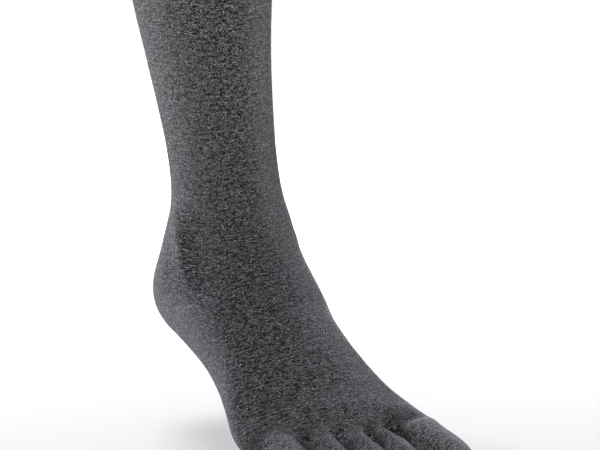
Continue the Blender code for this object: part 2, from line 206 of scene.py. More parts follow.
# The cuff's band, from its lower edge over its face and folded top edge to its inside. up is a share of
# CUFF_HEIGHT, out of CUFF_WALL and ribs of CUFF_RIB_DEPTH.
CUFF_BAND = (
    # up, out, ribs
    (-0.09, 0.10, 0.0),
    (-0.05, 0.34, 0.2),
    (0.00, 0.62, 0.5),
    (0.05, 0.86, 0.9),
    (0.12, 1.00, 1.0),
    (0.25, 1.00, 1.0),
    (0.40, 1.00, 1.0),
    (0.55, 1.00, 1.0),
    (0.70, 1.00, 1.0),
    (0.83, 1.00, 1.0),
    (0.91, 0.98, 0.9),
    (0.965, 0.84, 0.6),
    (0.995, 0.60, 0.3),
    (1.00, 0.40, 0.2),
    (0.99, 0.20, 0.2),
    (0.95, 0.06, 0.4),
    (0.88, 0.00, 0.6),
    (0.70, 0.00, 0.6),
    (0.50, 0.00, 0.6),
    (0.30, 0.00, 0.6),
    (0.12, 0.00, 0.5),
    (0.03, 0.06, 0.2),
    (-0.03, 0.12, 0.0),
)
CUFF_RIBS, CUFF_RIB_DEPTH = 84, 0.0009
RIB_STEPS, RIB_ROUNDNESS, WALES_PER_RIB = 10, 0.7, 2.0

# Yarn noises: how often each repeats to a wale and to a course, and how the flecks lean.
GRAIN, MARL, FLECKS, BANDS = (1.3, 1.8), (0.38, 0.80), (1.3, 2.2), (0.07, 0.8)
FLECK_LEAN = 0.4
# Heights between which painted shade, slightly cool, darkens the yarn from the leg's tone towards the foot.
PAINTED_SHADE_START_UP, PAINTED_SHADE_FULL_UP = -0.10, -0.21

# Studio, in metres: camera, lights, and the distances over which the floor's glow grows.
EYE, AIM = (-0.5800, -1.0230, 0.0180), (0.05225, -0.02842, -0.1855)
LENS, SENSOR = 121.0, 36.0
WHITE, COOL_WHITE = (1.0, 1.0, 1.0), (0.93, 0.96, 1.0)
LIGHT_AIM = (0.03, -0.02, -0.16)
LIGHTS = (
    # name, strength in SockStudio, place, size, colour
    ("left rim light", "left_rim", (-0.50, 1.36, 0.45), (0.5, 1.0), COOL_WHITE),
    ("right rim light", "right_rim", (0.90, 1.02, 0.10), (0.4, 0.6), COOL_WHITE),
    ("front fill light", "front_fill", (-0.55, -1.60, -0.10), (1.0, 0.8), WHITE),
    ("high back light", "high_back", (0.12, 0.82, 1.20), (0.7, 0.7), WHITE),
)
FLOOR_RADIUS = 30.0
NEAR_GLOW_REACH, FAR_GLOW_REACH, FAR_GLOW = 0.33, 1.20, 0.80


def cage_scale(points):
    """How far a round cage stands out for its smooth surface to have the true size."""
    return 3.0 / (2.0 + math.cos(2.0 * math.pi / points))


def signed_power(value, power):
    """A power that keeps the sign."""
    return math.copysign(abs(value) ** power, value)


def smooth_step(value):
    """A soft step from 0 to 1."""
    value = min(1.0, max(0.0, value))
    return value * value * (3.0 - 2.0 * value)


def toe_edges():
    """Sides of the toe sleeves from the big toe out, as shares of half the ball's width."""
    edges = [(side + width / 2.0) * 2.0 for _, _, _, side, _, width, _ in TOES]
    return edges + [(TOES[-1][3] - TOES[-1][5] / 2.0) * 2.0]


def toe_webs():
    """How far forward the foot ends at each side of the toe sleeves, from the big toe out."""
    return [FIRST_WEB * FOOT_LENGTH] + [toe[1] * FOOT_LENGTH for toe in TOES]


def column_angles(toe_share):
    """Angle of each cage column: even on the leg, gathered at the toe sleeves at the ball."""
    even = [2.0 * math.pi * k / COLUMNS for k in range(COLUMNS)]
    edges = toe_edges()
    sides = []
    for near, far in zip(edges, edges[1:]):
        sides += [near, (near + far) / 2.0]
    outermost = math.radians(EDGE_ANGLE)
    top = [outermost] + [math.acos(side) for side in sides[1:]] + [math.pi - outermost]
    toes = [0.0] + top + [math.pi] + [2.0 * math.pi - angle for angle in reversed(top)]
    return [a + (b - a) * toe_share for a, b in zip(even, toes)]


def section(front, back, medial, lateral, belt, pinch, ridge=0.0, skew=0.0, toe_share=0.0, power=HEEL_POWER):
    """Cage points of one closed section, as (side, forward, up)."""
    grow = cage_scale(COLUMNS)
    centre = front.lerp(back, belt)
    points = []
    for angle in column_angles(toe_share):
        squareness = TOP_POWER if math.sin(angle) >= 0.0 else power
        across = signed_power(math.cos(angle), 2.0 / squareness)
        along = signed_power(math.sin(angle), 2.0 / squareness)
        half = medial if across >= 0.0 else lateral
        if along < 0.0:
            half *= 1.0 - pinch * math.sin(2.0 * angle) ** 2
        side = half * across * grow + ridge * max(along, 0.0) ** 2
        reach = (front - centre) if along >= 0.0 else (centre - back)
        at = centre + reach * along * grow
        points.append(Vector((side, at.x + skew * side, at.y)))
    return points


def turning_centre():
    """Where the sections of the ankle and heel fan out from, as (forward, up)."""
    return Vector((TURN_FORWARD * FOOT_LENGTH, TURN_UP * INSTEP_HEIGHT))


def leg_points(height, front, grow, pinch=0.0, out=0.0):
    """A section of the leg at a height above the ankle, out from the skin by a distance."""
    lean = math.radians(FOOT_POINT)
    axis = Vector((-math.sin(lean), math.cos(lean)))
    back_way = Vector((-axis.y, axis.x))
    width = ANKLE_WIDTH + grow * (CALF_WIDTH - ANKLE_WIDTH) + 2.0 * out
    depth = ANKLE_DEPTH + grow * (CALF_DEPTH - ANKLE_DEPTH) + 2.0 * out
    near = turning_centre() + axis * height + back_way * (front * TURN_RADIUS - out)
    points = section(near, near + back_way * depth, width / 2.0, width / 2.0, LEG_BELT, pinch)
    shift = Vector((-math.tan(math.radians(LEG_SPLAY)) * height, 0.0, 0.0))
    return [point + shift for point in points]


def heel_points(turn, front, depth, medial, lateral, belt, pinch):
    """A section of the ankle and heel, fanned about the turning centre."""
    start = math.radians(FOOT_POINT)
    angle = start + turn * (math.pi / 2.0 - start)
    way = Vector((-math.cos(angle), -math.sin(angle)))
    near = turning_centre() + way * front * TURN_RADIUS
    far = near + way * depth * HEEL_DEPTH
    ridge = HEEL_RIDGE * BALL_WIDTH * turn
    return section(near, far, medial * HEEL_WIDTH, lateral * HEEL_WIDTH, belt, pinch, ridge)


def foot_points(forward, top, sole, medial, lateral, ridge, skew):
    """An upright section of the foot, between the instep and the toes."""
    first, last = FOOT_SECTIONS[0][0] - FOOT_TOE_BLEND, FOOT_SECTIONS[-1][0]
    return section(
        Vector((forward * FOOT_LENGTH, top * INSTEP_HEIGHT)),
        Vector((forward * FOOT_LENGTH, sole * INSTEP_HEIGHT)),
        medial * BALL_WIDTH,
        lateral * BALL_WIDTH,
        FOOT_BELT,
        0.0,
        ridge * BALL_WIDTH,
        skew,
        smooth_step((forward - first) / (last - first)),
        SOLE_POWER,
    )


def with_bones(points):
    """The section's points, pushed out at the ankle bones."""
    centre = sum(points, Vector()) / len(points)
    shaped = []
    for point in points:
        push = 0.0
        for side, forward, up, radius, rise in ANKLE_BONES:
            spot = Vector((side * HEEL_WIDTH, forward * FOOT_LENGTH, up * INSTEP_HEIGHT))
            away = (point - spot).length / (radius * HEEL_DEPTH)
            push += rise * HEEL_DEPTH * math.exp(-away * away)
        shaped.append(point + (point - centre).normalized() * push)
    return shaped


def raised(point, bend=1.0):
    """A foot-frame point, turned with the heel about the ball, with +Z up and the toes towards -Y."""
    pivot = Vector((0.0, BALL_FORWARD * FOOT_LENGTH, BALL_UP * TOE_HEIGHT))
    axis = Vector((1.0, BALL_SKEW, 0.0)).normalized()
    turn = Matrix.Rotation(-math.radians(HEEL_RAISE) * bend, 3, axis)
    side, forward, up = turn @ (point - pivot) + pivot
    return Vector((side, -forward, up))


def opening_centre():
    """The middle of the leg opening, with the heel raised."""
    points = leg_points(LEG_HEIGHT + CUFF_HEIGHT, CUFF_TOP_FRONT, CUFF_TOP_GROW)
    return sum((raised(point) for point in points), Vector()) / len(points)


ORIGIN = opening_centre()


def in_row(point, bend=1.0):
    """A foot-frame point in the row frame, whose origin is the centre of the leg opening."""
    return raised(point, bend) - ORIGIN


def root_points():
    """Cage points of the toe roots: the ring that ends the foot, and the middle point of each web."""
    half = BALL_WIDTH / 2.0
    edges, webs = toe_edges(), toe_webs()
    grow = cage_scale(COLUMNS)
    heights = [toe[6] for toe in TOES] + [TOES[-1][6]]
    top, bottom, middle = [], [], []
    for edge, (side, web, height) in enumerate(zip(edges, webs, heights)):
        outer = edge in (0, len(TOES))
        across = side * half * (ROOT_PULL if outer else 1.0)
        high = (ROOT_EDGE if outer else WEB_TOP) * height * TOE_HEIGHT
        top.append(Vector((across, web, high)))
        bottom.append(Vector((across, web, WEB_BOTTOM * TOE_HEIGHT)))
        if not outer:
            middle.append(Vector((across, web, WEB_MIDDLE * TOE_HEIGHT)))
        if edge < len(TOES):
            centre = TOES[edge][3] * BALL_WIDTH
            forward = (web + webs[edge + 1]) / 2.0
            top.append(Vector((centre, forward, ROOT_TOP * TOES[edge][6] * TOE_HEIGHT)))
            bottom.append(Vector((centre, forward, ROOT_BOTTOM * TOE_HEIGHT)))
    medial = Vector((edges[0] * half * grow, webs[0], ROOT_MEDIAL * TOE_HEIGHT))
    lateral = Vector((edges[-1] * half * grow, webs[-1], ROOT_LATERAL * TOE_HEIGHT))
    return [medial] + top + [lateral] + bottom[::-1], middle


def toe_rings(index):
    """Cage rings of one toe sleeve, and the point that closes its tip."""
    _, _, tip, side, tip_side, width, height = TOES[index]
    webs = toe_webs()
    grow = cage_scale(TOE_COLUMNS)
    start = Vector((side * BALL_WIDTH, (webs[index] + webs[index + 1]) / 2.0))
    end = Vector((tip_side * BALL_WIDTH, tip * FOOT_LENGTH))
    along = (end - start).normalized()
    across = Vector((along.y, -along.x))
    rings = []
    for reach, wide, top, bottom in TOE_PROFILE:
        centre = start.lerp(end, reach)
        middle = (top + bottom) / 2.0 * height * TOE_HEIGHT
        half_up = (top - bottom) / 2.0 * height * TOE_HEIGHT * grow
        half_wide = wide * width * BALL_WIDTH / 2.0 * grow
        ring = []
        for k in range(TOE_COLUMNS):
            angle = 2.0 * math.pi * k / TOE_COLUMNS
            at = centre + across * math.cos(angle) * half_wide
            ring.append(Vector((at.x, at.y, middle + math.sin(angle) * half_up)))
        rings.append(ring)
    return rings, Vector((end.x, end.y, TOE_TIP_UP * height * TOE_HEIGHT))


def knit_face(bm, verts, piece, stitches):
    """One cage face of a piece, with the (wale, course) of each corner in the stitch map."""
    face = bm.faces.new(verts)
    face.material_index = SKIN_PIECES.index(piece)
    layer = bm.loops.layers.uv[STITCH_MAP]
    for loop, stitch in zip(face.loops, stitches):
        loop[layer].uv = stitch


def knit_rings(bm, loop, ring, piece_of, wales, above, below):
    """Faces between two rings. above and below give the course at each column of the two rings."""
    count = len(loop)
    for k in range(count):
        after = (k + 1) % count
        piece = piece_of(k)
        low, high = wales * k, wales * (k + 1)
        stitches = ((low, above(piece, k)), (high, above(piece, after)))
        stitches += ((high, below(piece, after)), (low, below(piece, k)))
        knit_face(bm, (loop[k], loop[after], ring[after], ring[k]), piece, stitches)


def skin_rows():
    """Rings of cage points down the leg, round the heel and along the foot, with their pocket columns."""
    rows = []
    for up, *size in LEG_SECTIONS:
        points = with_bones(leg_points(up * LEG_HEIGHT, *size))
        rows.append(([in_row(point) for point in points], "leg", 0))
    for *size, pocket in HEEL_SECTIONS:
        points = with_bones(heel_points(*size))
        rows.append(([in_row(point) for point in points], "foot", pocket))
    for *size, bend in FOOT_SECTIONS:
        rows.append(([in_row(point, bend) for point in foot_points(*size)], "foot", 0))
    root, webs = root_points()
    rows.append(([in_row(point, 0.0) for point in root], "foot", 0))
    return rows, [in_row(point, 0.0) for point in webs]


def courses_down(rows):
    """Course number at each column of each ring, over the instep and in the heel pocket's own short rows."""
    instep = [[0.0] * COLUMNS]
    pocket = [[0.0] * COLUMNS]
    for (above, _, share), (below, _, _) in zip(rows, rows[1:]):
        steps = [(b - a).length / COURSE for a, b in zip(above, below)]
        front = steps[: COLUMNS // 2 + 1]
        even = sum(front) / len(front) if share else sum(steps) / len(steps)
        instep.append([last + even + (step - even) * COURSE_SPREAD for last, step in zip(instep[-1], steps)])
        pocket.append([last + (step if share else 0.0) for last, step in zip(pocket[-1], steps)])
    return instep, pocket


def add_toe(bm, loop, index, course):
    """The cage of one toe sleeve, on from its loop of root vertices, with its own courses."""
    name = TOES[index][0]
    wales = WALES_PER_TOE_COLUMN
    rows, closing = toe_rings(index)
    for row in rows:
        points = [in_row(point, 0.0) for point in row]
        step = sum((p - v.co).length for p, v in zip(points, loop)) / TOE_COLUMNS / COURSE
        ring = [bm.verts.new(point) for point in points]
        knit_rings(bm, loop, ring, lambda k: name, wales, lambda p, k: course, lambda p, k: course + step)
        loop, course = ring, course + step
    tip = bm.verts.new(in_row(closing, 0.0))
    reach = course + sum((v.co - tip.co).length for v in loop) / TOE_COLUMNS / COURSE
    for k in range(0, TOE_COLUMNS, 2):
        corners = (tip, loop[k], loop[k + 1], loop[(k + 2) % TOE_COLUMNS])
        low = wales * k
        stitches = ((low + wales, reach), (low, course), (low + wales, course), (low + 2 * wales, course))
        knit_face(bm, corners, name, stitches)


def skin_cage():
    """The knit skin below the cuff as a coarse open mesh, with its stitch map and each face's piece."""
    rows, webs = skin_rows()
    instep, pocket = courses_down(rows)
    bm = bmesh.new()
    bm.loops.layers.uv.new(STITCH_MAP)
    made = [[bm.verts.new(point) for point in points] for points, _, _ in rows]
    middle_back = COLUMNS * 3 // 4
    for r, (above, below) in enumerate(zip(made, made[1:])):
        _, piece, share = rows[r]
        heel = range(middle_back - share // 2, middle_back + share // 2)
        knit_rings(
            bm,
            above,
            below,
            lambda k: "heel" if k in heel else piece,
            WALES_PER_COLUMN,
            lambda p, k: pocket[r][k] if p == "heel" else instep[r][k],
            lambda p, k: pocket[r + 1][k] if p == "heel" else instep[r + 1][k],
        )
    last = made[-1]
    middle = [bm.verts.new(point) for point in webs]
    sides = [last[0]] + middle + [last[COLUMNS // 2]]
    for index in range(len(TOES)):
        first = 1 + 2 * index
        under = COLUMNS - first
        loop = [sides[index]] + last[first : first + 3] + [sides[index + 1]] + last[under - 2 : under + 1]
        add_toe(bm, loop, index, instep[-1][first + 1])
    bmesh.ops.recalc_face_normals(bm, faces=bm.faces)
    mesh = bpy.data.meshes.new("skin_cage")
    bm.to_mesh(mesh)
    bm.free()
    return mesh


def smoothed(mesh, levels, name):
    """The evaluated smooth surface of a cage."""
    rough = bpy.data.objects.new(name, mesh)
    bpy.context.scene.collection.objects.link(rough)
    smooth = rough.modifiers.new("smooth", "SUBSURF")
    smooth.levels = smooth.render_levels = levels
    graph = bpy.context.evaluated_depsgraph_get()
    fine = bpy.data.meshes.new_from_object(rough.evaluated_get(graph))
    bpy.data.objects.remove(rough, do_unlink=True)
    return fine


def mesh_arrays(mesh):
    """Points, point normals, corners of the quads, piece of each quad and stitch of each corner."""
    points = np.empty(len(mesh.vertices) * 3)
    mesh.vertices.foreach_get("co", points)
    normals = np.empty(len(mesh.vertices) * 3)
    mesh.vertices.foreach_get("normal", normals)
    corners = np.empty(len(mesh.loops), int)
    mesh.loops.foreach_get("vertex_index", corners)
    pieces = np.empty(len(mesh.polygons), int)
    mesh.polygons.foreach_get("material_index", pieces)
    stitches = np.empty(len(mesh.loops) * 2)
    mesh.uv_layers[STITCH_MAP].data.foreach_get("uv", stitches)
    points, normals = points.reshape(-1, 3), normals.reshape(-1, 3)
    return points, normals, corners.reshape(-1, 4), pieces, stitches.reshape(-1, 4, 2)


def mesh_from(points, quads, stitches, name):
    """A mesh of quads with a stitch map."""
    mesh = bpy.data.meshes.new(name)
    mesh.from_pydata(points.tolist(), [], quads.tolist())
    layer = mesh.uv_layers.new(name=STITCH_MAP)
    layer.data.foreach_set("uv", stitches.reshape(-1).astype(np.float32))
    mesh.update()
    return mesh


def to_foot(points):
    """Row-frame points as (side, forward, up), without the raise of the heel."""
    world = points + np.array(ORIGIN)
    pivot = np.array((0.0, -BALL_FORWARD * FOOT_LENGTH, BALL_UP * TOE_HEIGHT))
    axis = Vector((1.0, -BALL_SKEW, 0.0)).normalized()
    back = np.array(Matrix.Rotation(-math.radians(HEEL_RAISE), 3, axis))
    flat = (world - pivot) @ back.T + pivot
    flat[:, 1] *= -1.0
    return flat


def smooth_noise(points, size, seed):
    """Slow, soft noise between -1 and 1 from a few seeded waves."""
    rng = np.random.default_rng(seed)
    total = np.zeros(len(points))
    for _ in range(9):
        way = rng.normal(size=3)
        way *= rng.uniform(0.6, 1.5) / np.linalg.norm(way) * 2.0 * math.pi / size
        total += np.sin(points @ way + rng.uniform(0.0, 2.0 * math.pi))
    return total / 5.0


def distance_to_line(points, start, end):
    """Distance of each point from the straight line between two points."""
    way = end - start
    along = np.clip((points - start) @ way / (way @ way), 0.0, 1.0)
    return np.linalg.norm(points - start - along[:, None] * way, axis=1)


def toe_valleys(flat):
    """How deep each point of the foot frame lies in a valley between two toe sleeves."""
    depth = np.zeros(len(flat))
    half = BALL_WIDTH / 2.0
    on_top = np.clip((flat[:, 2] / TOE_HEIGHT - VALLEY_LOW) / (VALLEY_HIGH - VALLEY_LOW), 0.0, 1.0)
    for edge, web, (reach, width, deep) in zip(toe_edges()[1:], toe_webs()[1:], WEB_VALLEYS):
        end = np.array((edge * half, web + width))
        start = end - np.array((0.0, reach))
        away = distance_to_line(flat[:, :2], start, end) / width
        depth = np.maximum(depth, np.exp(-away * away) * deep)
    return depth * on_top


def worn_relief(points):
    """How far each point of the knit stands out: soft unevenness, creases, tendon hollows and toe valleys."""
    relief = sum(rise * smooth_noise(points, size, seed) for rise, size, seed in UNEVENNESS)
    flat = to_foot(points)
    side, forward, up = flat.T
    for at, high, reach, lean, rise, width in CREASES:
        centre = at * FOOT_LENGTH + lean * side
        along = (forward - centre) / width
        across = np.abs(side) / reach
        near = np.abs(up - high * INSTEP_HEIGHT) < CREASE_HALF_HEIGHT
        relief += rise * np.exp(-along * along) * np.exp(-across * across) * near
    unit = np.array((HEEL_WIDTH, FOOT_LENGTH, INSTEP_HEIGHT))
    for *line, radius, rise in TENDON_LINES:
        start, end = np.array(line[:3]) * unit, np.array(line[3:]) * unit
        away = distance_to_line(flat, start, end) / (radius * HEEL_DEPTH)
        relief += rise * HEEL_DEPTH * np.exp(-away * away)
    return relief - toe_valleys(flat)


SKINS = {}


def knit_skin(levels):
    """Arrays of the smooth skin at one level of detail, made once, with the relief of the worn knit."""
    if levels not in SKINS:
        fine = smoothed(skin_cage(), levels, "skin")
        points, normals, quads, pieces, stitches = mesh_arrays(fine)
        points = points + normals * worn_relief(points)[:, None]
        whole = mesh_from(points, quads, stitches, "skin_relief")
        _, normals, _, _, _ = mesh_arrays(whole)
        bpy.data.meshes.remove(whole)
        bpy.data.meshes.remove(fine)
        SKINS[levels] = (points, normals, quads, pieces, stitches)
    return SKINS[levels]


def part_of_skin(levels, name, inward):
    """Points, normals, quads and stitches of one piece, with its own short list of points."""
    points, normals, quads, pieces, stitches = knit_skin(levels)
    own = pieces == SKIN_PIECES.index(name)
    used, index = np.unique(quads[own], return_inverse=True)
    index = index.reshape(-1, 4)
    points, normals = points[used], normals[used]
    if inward:
        return points - normals * WALL, -normals, index[:, ::-1], stitches[own][:, ::-1]
    return points, normals, index, stitches[own]


def add_piece(name, mesh, node, material):
    """A shown piece that rides on the sock's one body and stands for its plain solid."""
    mesh.materials.append(material)
    piece = bpy.data.objects.new(name, mesh)
    bpy.context.scene.collection.objects.link(piece)
    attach(piece, BODY)
    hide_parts(node)


def knit_piece(name, material):
    """One knitted piece, inside and outside, shaded across its joins with the neighbouring pieces."""
    outer = part_of_skin(OUTER_DETAIL, name, False)
    inner = part_of_skin(INNER_DETAIL, name, True)
    points = np.vstack((outer[0], inner[0]))
    normals = np.vstack((outer[1], inner[1]))
    quads = np.vstack((outer[2], inner[2] + len(outer[0])))
    stitches = np.vstack((outer[3], inner[3]))
    mesh = mesh_from(points, quads, stitches, name + "_knitted")
    mesh.shade_smooth()
    mesh.normals_split_custom_set_from_vertices(normals.tolist())
    add_piece(name + "_knitted", mesh, name, material)


def cuff_ring(up, out, ribs):
    """One ring of the cuff's band, with its ribs raised, as row-frame points."""
    low_front, low_grow = LEG_SECTIONS[0][1:3]
    share = max(up, 0.0)
    front = low_front + share * (CUFF_TOP_FRONT - low_front)
    grow = low_grow + share * (CUFF_TOP_GROW - low_grow)
    away = CUFF_PROUD - (1.0 - out) * CUFF_WALL
    coarse = np.array([in_row(p) for p in leg_points(LEG_HEIGHT + up * CUFF_HEIGHT, front, grow, out=away)])
    count = CUFF_RIBS * RIB_STEPS
    turn = np.arange(count) / count * COLUMNS
    k = np.floor(turn).astype(int)
    t = (turn - k)[:, None]
    before, here, after, beyond = (coarse[(k + step) % COLUMNS] for step in (-1, 0, 1, 2))
    ring = (
        before * (1 - t) ** 3
        + here * (3 * t**3 - 6 * t**2 + 4)
        + after * (-3 * t**3 + 3 * t**2 + 3 * t + 1)
        + beyond * t**3
    ) / 6.0
    along = np.roll(ring, -1, 0) - np.roll(ring, 1, 0)
    axis = np.array(in_row(Vector((0.0, 0.0, 1.0))) - in_row(Vector((0.0, 0.0, 0.0))))
    way = np.cross(along, axis)
    way /= np.linalg.norm(way, axis=1)[:, None]
    way *= np.sign(np.sum(way * (ring - ring.mean(0)), axis=1))[:, None]
    wave = np.abs(np.cos(np.arange(count) * math.pi / RIB_STEPS)) ** RIB_ROUNDNESS - 1.0
    facing = 1.0 if out > 0.5 else -1.0
    return ring + way * (wave * ribs * CUFF_RIB_DEPTH * facing)[:, None]


def cuff_piece(material):
    """The ribbed double-knit cuff: a band folded over at its top edge, ribbed on both faces."""
    rings = [cuff_ring(*row) for row in CUFF_BAND]
    count, rows = CUFF_RIBS * RIB_STEPS, len(rings)
    course = [0.0]
    for above, below in zip(rings, rings[1:]):
        course.append(course[-1] + np.linalg.norm(below - above, axis=1).mean() / COURSE)
    quads, stitches = [], []
    wale = WALES_PER_RIB / RIB_STEPS
    for r in range(rows - 1):
        for k in range(count):
            after = (k + 1) % count
            quads.append((r * count + k, r * count + after, (r + 1) * count + after, (r + 1) * count + k))
            low, high = k * wale + 0.5, (k + 1) * wale + 0.5
            top, bottom = course[r], course[r + 1]
            stitches.append(((low, top), (high, top), (high, bottom), (low, bottom)))
    mesh = mesh_from(np.vstack(rings), np.array(quads), np.array(stitches), "cuff_ribbed")
    mesh.shade_smooth()
    add_piece("cuff_ribbed", mesh, "cuff", material)


FLOAT, COLOUR, VECTOR = "NodeSocketFloat", "NodeSocketColor", "NodeSocketVector"


def put(tree, kind, column, row, values=None, **settings):
    """One shader node in its place on the sheet. Its inputs take plain values or other nodes' outputs."""
    made = tree.nodes.new(kind)
    made.location = (column * 190.0, -row * 170.0)
    for name, value in settings.items():
        setattr(made, name, value)
    for name, value in (values or {}).items():
        if isinstance(value, bpy.types.NodeSocket):
            tree.links.new(value, made.inputs[name])
        else:
            made.inputs[name].default_value = value
    return made


def math_node(tree, column, row, operation, *values):
    """A Math node. Gives its output."""
    return put(tree, "ShaderNodeMath", column, row, dict(enumerate(values)), operation=operation).outputs[0]


def vector_node(tree, column, row, operation, values):
    """A Vector Math node. Gives its output."""
    return put(tree, "ShaderNodeVectorMath", column, row, values, operation=operation).outputs[0]


def range_node(tree, column, row, value, low, high):
    """A Map Range node that goes from 0 to 1 between two values. Gives its output."""
    values = {"Value": value, "From Min": low, "From Max": high}
    return put(tree, "ShaderNodeMapRange", column, row, values).outputs[0]


def mix_node(tree, column, row, blend, factor, first, second):
    """A Mix node for colours. Gives its colour."""
    values = {0: factor, 6: first, 7: second}
    return put(tree, "ShaderNodeMix", column, row, values, data_type="RGBA", blend_type=blend).outputs[2]


def stitch_noise(tree, stitch, row, repeats, lean=0.0, **values):
    """A noise stretched along the stitches. Gives its output."""
    spread = {"Vector": stitch, "Scale": (*repeats, 1.0), "Rotation": (0.0, 0.0, lean)}
    placed = put(tree, "ShaderNodeMapping", 1, row, spread).outputs[0]
    return put(tree, "ShaderNodeTexNoise", 2, row, {"Vector": placed, "Scale": 1.0, **values}).outputs["Fac"]


def new_group(name, inputs, outputs):
    """A shader node group with named sockets. Gives the tree, its inputs and its output node."""
    tree = bpy.data.node_groups.new(name, "ShaderNodeTree")
    for label, kind, value in inputs:
        socket = tree.interface.new_socket(name=label, in_out="INPUT", socket_type=kind)
        if value is not None:
            socket.default_value = value
    for label, kind in outputs:
        tree.interface.new_socket(name=label, in_out="OUTPUT", socket_type=kind)
    return tree, put(tree, "NodeGroupInput", 0, 0).outputs, put(tree, "NodeGroupOutput", 14, 0)


def group_once(name, make):
    """A node group by its name, built the first time that it is asked for."""
    return bpy.data.node_groups.get(name) or make()


def jersey_loops_group():
    """Jersey stitches: two leaning yarn strands to each wale, one loop to each course."""
    tree, given, result = new_group(
        "Jersey loops",
        [("Stitch", VECTOR, None), ("Wander", FLOAT, 0.15), ("Loop Depth", FLOAT, 0.5)],
        [("Height", FLOAT), ("Gap", FLOAT)],
    )
    slow = {"Vector": given["Stitch"], "Scale": 0.35, "Detail": 2.0, "Roughness": 0.6}
    drift = put(tree, "ShaderNodeTexNoise", 1, 2, slow).outputs["Color"]
    centred = vector_node(tree, 2, 2, "SUBTRACT", {0: drift, 1: (0.5, 0.5, 0.5)})
    scaled = vector_node(tree, 3, 2, "SCALE", {0: centred, "Scale": given["Wander"]})
    moved = vector_node(tree, 4, 1, "ADD", {0: given["Stitch"], 1: scaled})
    wale, course, _ = put(tree, "ShaderNodeSeparateXYZ", 5, 1, {0: moved}).outputs
    in_wale = math_node(tree, 6, 0, "FRACT", wale)
    off = math_node(tree, 7, 0, "ABSOLUTE", math_node(tree, 6.5, 0, "SUBTRACT", in_wale, 0.5))
    strand = math_node(tree, 8, 0, "SINE", math_node(tree, 7.5, 0, "MULTIPLY", off, 2.0 * math.pi))
    leaning = math_node(tree, 8, 2, "MULTIPLY_ADD", off, -1.1, course)
    loop = math_node(tree, 9, 2, "SINE", math_node(tree, 8.5, 2, "MULTIPLY", leaning, 2.0 * math.pi))
    loop = math_node(tree, 10, 2, "MULTIPLY_ADD", loop, 0.5, 0.5)
    depth = math_node(tree, 11, 2, "MULTIPLY", loop, given["Loop Depth"])
    height = math_node(tree, 12, 1, "MULTIPLY", strand, math_node(tree, 11.5, 2, "ADD", depth, 0.5))
    tree.links.new(height, result.inputs["Height"])
    # Gap: where the strands part, the mask that the knit finish's painted shade follows.
    between = math_node(tree, 12, 3, "SUBTRACT", 1.0, strand)
    tree.links.new(math_node(tree, 13, 3, "POWER", between, 2.0), result.inputs["Gap"])
    return tree


def heather_yarn_group():
    """Heather colour: dark yarn flecked with pale fibres, in streaks that follow the courses, with painted
    shade darker towards the foot.
    """
    tree, given, result = new_group(
        "Heather yarn",
        [
            ("Stitch", VECTOR, None),
            ("Dark", COLOUR, (0.02, 0.02, 0.022, 1.0)),
            ("Middle", COLOUR, (0.06, 0.06, 0.062, 1.0)),
            ("Pale", COLOUR, (0.3, 0.3, 0.32, 1.0)),
            ("Fleck Share", FLOAT, 0.3),
            ("Band Strength", FLOAT, 0.2),
            ("Place", VECTOR, None),
            ("Foot Shade", COLOUR, (0.71, 0.70, 0.76, 1.0)),
        ],
        [("Color", COLOUR), ("Fleck", FLOAT)],
    )
    stitch = given["Stitch"]
    grain = stitch_noise(tree, stitch, 0, GRAIN, Detail=1.0, Distortion=0.4)
    marl = stitch_noise(tree, stitch, 1, MARL, Detail=1.0, Roughness=0.6, Distortion=0.3)
    fleck = stitch_noise(tree, stitch, 2, FLECKS, FLECK_LEAN, Detail=1.0, Distortion=0.6)
    bands = stitch_noise(tree, stitch, 4, BANDS, Detail=2.0)

    mixed = math_node(tree, 3, 0, "MULTIPLY_ADD", marl, 1.3, grain)
    shade = range_node(tree, 4, 0, mixed, 0.99, 1.36)
    base = mix_node(tree, 6, 0, "MIX", shade, given["Dark"], given["Middle"])

    share = math_node(tree, 3, 3, "MULTIPLY", given["Fleck Share"], 0.5)
    edge = math_node(tree, 4, 3, "SUBTRACT", 0.78, share)
    mask = range_node(tree, 5, 2, fleck, edge, math_node(tree, 4.5, 3, "ADD", edge, 0.09))
    flecked = mix_node(tree, 8, 0, "MIX", mask, base, given["Pale"])

    centred = math_node(tree, 4, 5, "SUBTRACT", bands, 0.5)
    strength = math_node(tree, 5, 5, "MULTIPLY", centred, given["Band Strength"])
    lift = math_node(tree, 6, 5, "MULTIPLY_ADD", strength, 4.0, 1.0)
    grey = put(tree, "ShaderNodeCombineColor", 8, 4, {0: lift, 1: lift, 2: lift}).outputs[0]
    banded = mix_node(tree, 10, 0, "MULTIPLY", 1.0, flecked, grey)

    # Painted shade: below the leg the yarn is multiplied darker and slightly cooler towards the foot.
    height = put(tree, "ShaderNodeSeparateXYZ", 9, 6, {0: given["Place"]}).outputs[2]
    low = range_node(tree, 10, 6, height, PAINTED_SHADE_START_UP, PAINTED_SHADE_FULL_UP)
    foot_with_painted_shade = mix_node(tree, 12, 0, "MULTIPLY", low, banded, given["Foot Shade"])
    tree.links.new(foot_with_painted_shade, result.inputs["Color"])
    tree.links.new(mask, result.inputs["Fleck"])
    return tree


def groove_shade_mask_group():
    """Where painted shade darkens the grooves between the ribs: one groove to every two wales."""
    inputs = [("Stitch", VECTOR, None), ("Sharpness", FLOAT, 2.0)]
    tree, given, result = new_group("Rib grooves", inputs, [("Groove", FLOAT)])
    wale = put(tree, "ShaderNodeSeparateXYZ", 1, 0, {0: given["Stitch"]}).outputs[0]
    wave = math_node(tree, 3, 0, "SINE", math_node(tree, 2, 0, "MULTIPLY", wale, math.pi))
    depth = math_node(tree, 4, 0, "MULTIPLY_ADD", wave, -0.5, 0.5)
    tree.links.new(math_node(tree, 5, 0, "POWER", depth, given["Sharpness"]), result.inputs["Groove"])
    return tree


